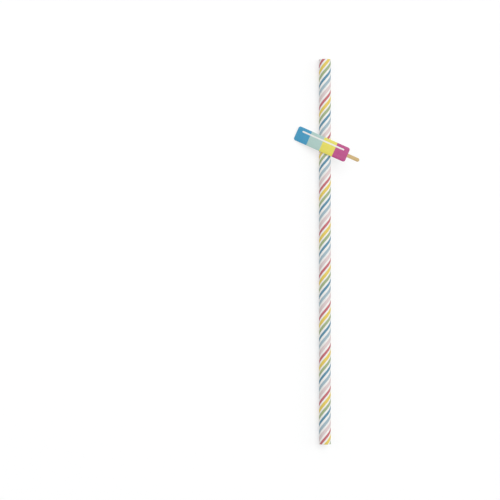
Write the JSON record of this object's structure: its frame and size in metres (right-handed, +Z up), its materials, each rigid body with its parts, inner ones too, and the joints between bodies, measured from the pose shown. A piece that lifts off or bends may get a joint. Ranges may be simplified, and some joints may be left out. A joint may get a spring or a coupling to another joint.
{
  "type": "paper drinking straw",
  "caption": "Striped, spirally wound paper drinking straw with a die-cut card ice lolly glued across it near one end.",
  "frame": {"origin": "On the floor below the middle of the bounding box, halfway along the straw.", "axes": "+Y along the straw towards the end that carries the card, +Z up, +X towards the card's raised stick end."},
  "size_m": [0.0306, 0.195, 0.0129],
  "materials": {
    "striped_paper": "uncoated white paper with soft helical stripes in blue, pale blue, pale pink, coral, yellow and mint",
    "printed_card": "matt coated white card, printed in blocks of blue, pale teal, yellow and magenta with a white streak and a tan stick",
    "clear_glue": "cloudy hot-melt glue, slightly glossy"
  },
  "bodies": {
    "root": {"straw": "striped_paper", "lolly_card": "printed_card", "glue_dot": "clear_glue"}
  },
  "joints": []
}
